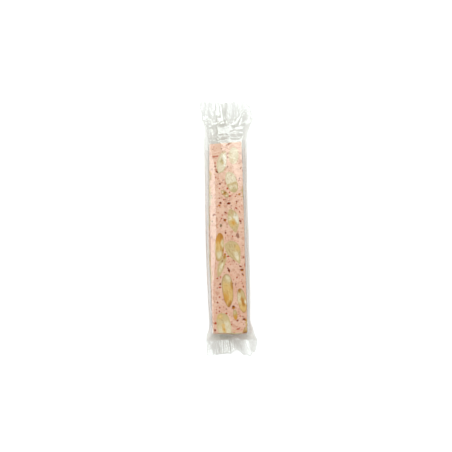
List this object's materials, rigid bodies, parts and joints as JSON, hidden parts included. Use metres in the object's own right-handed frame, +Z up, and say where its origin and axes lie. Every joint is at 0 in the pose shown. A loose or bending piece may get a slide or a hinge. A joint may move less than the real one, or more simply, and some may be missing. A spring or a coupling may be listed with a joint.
{
  "type": "wrapped nougat bar",
  "caption": "Long flat bar of pink almond nougat sealed in a sleeve of clear film, with a flat crimped seal at each end and loose film down both sides.",
  "frame": {"origin": "middle of the pack's footprint, on the surface that it lies on", "axes": "+Y along the bar, towards the end with the longer neck of film; +Z up, out of the bar's broad top face; +X to the right of that"},
  "size_m": [0.0376, 0.1728, 0.0129],
  "materials": {
    "nougat": "pale pink nougat, matte and faintly translucent, seen through clear film",
    "almond": "cut face of a blanched almond, cream to golden, matte",
    "fruit_pieces": "small dried fruit pieces, dark red brown to amber, slightly glossy",
    "clear_film": "thin clear glossy film"
  },
  "bodies": {
    "root": {"wrapped_bar": "nougat"}
  },
  "joints": []
}
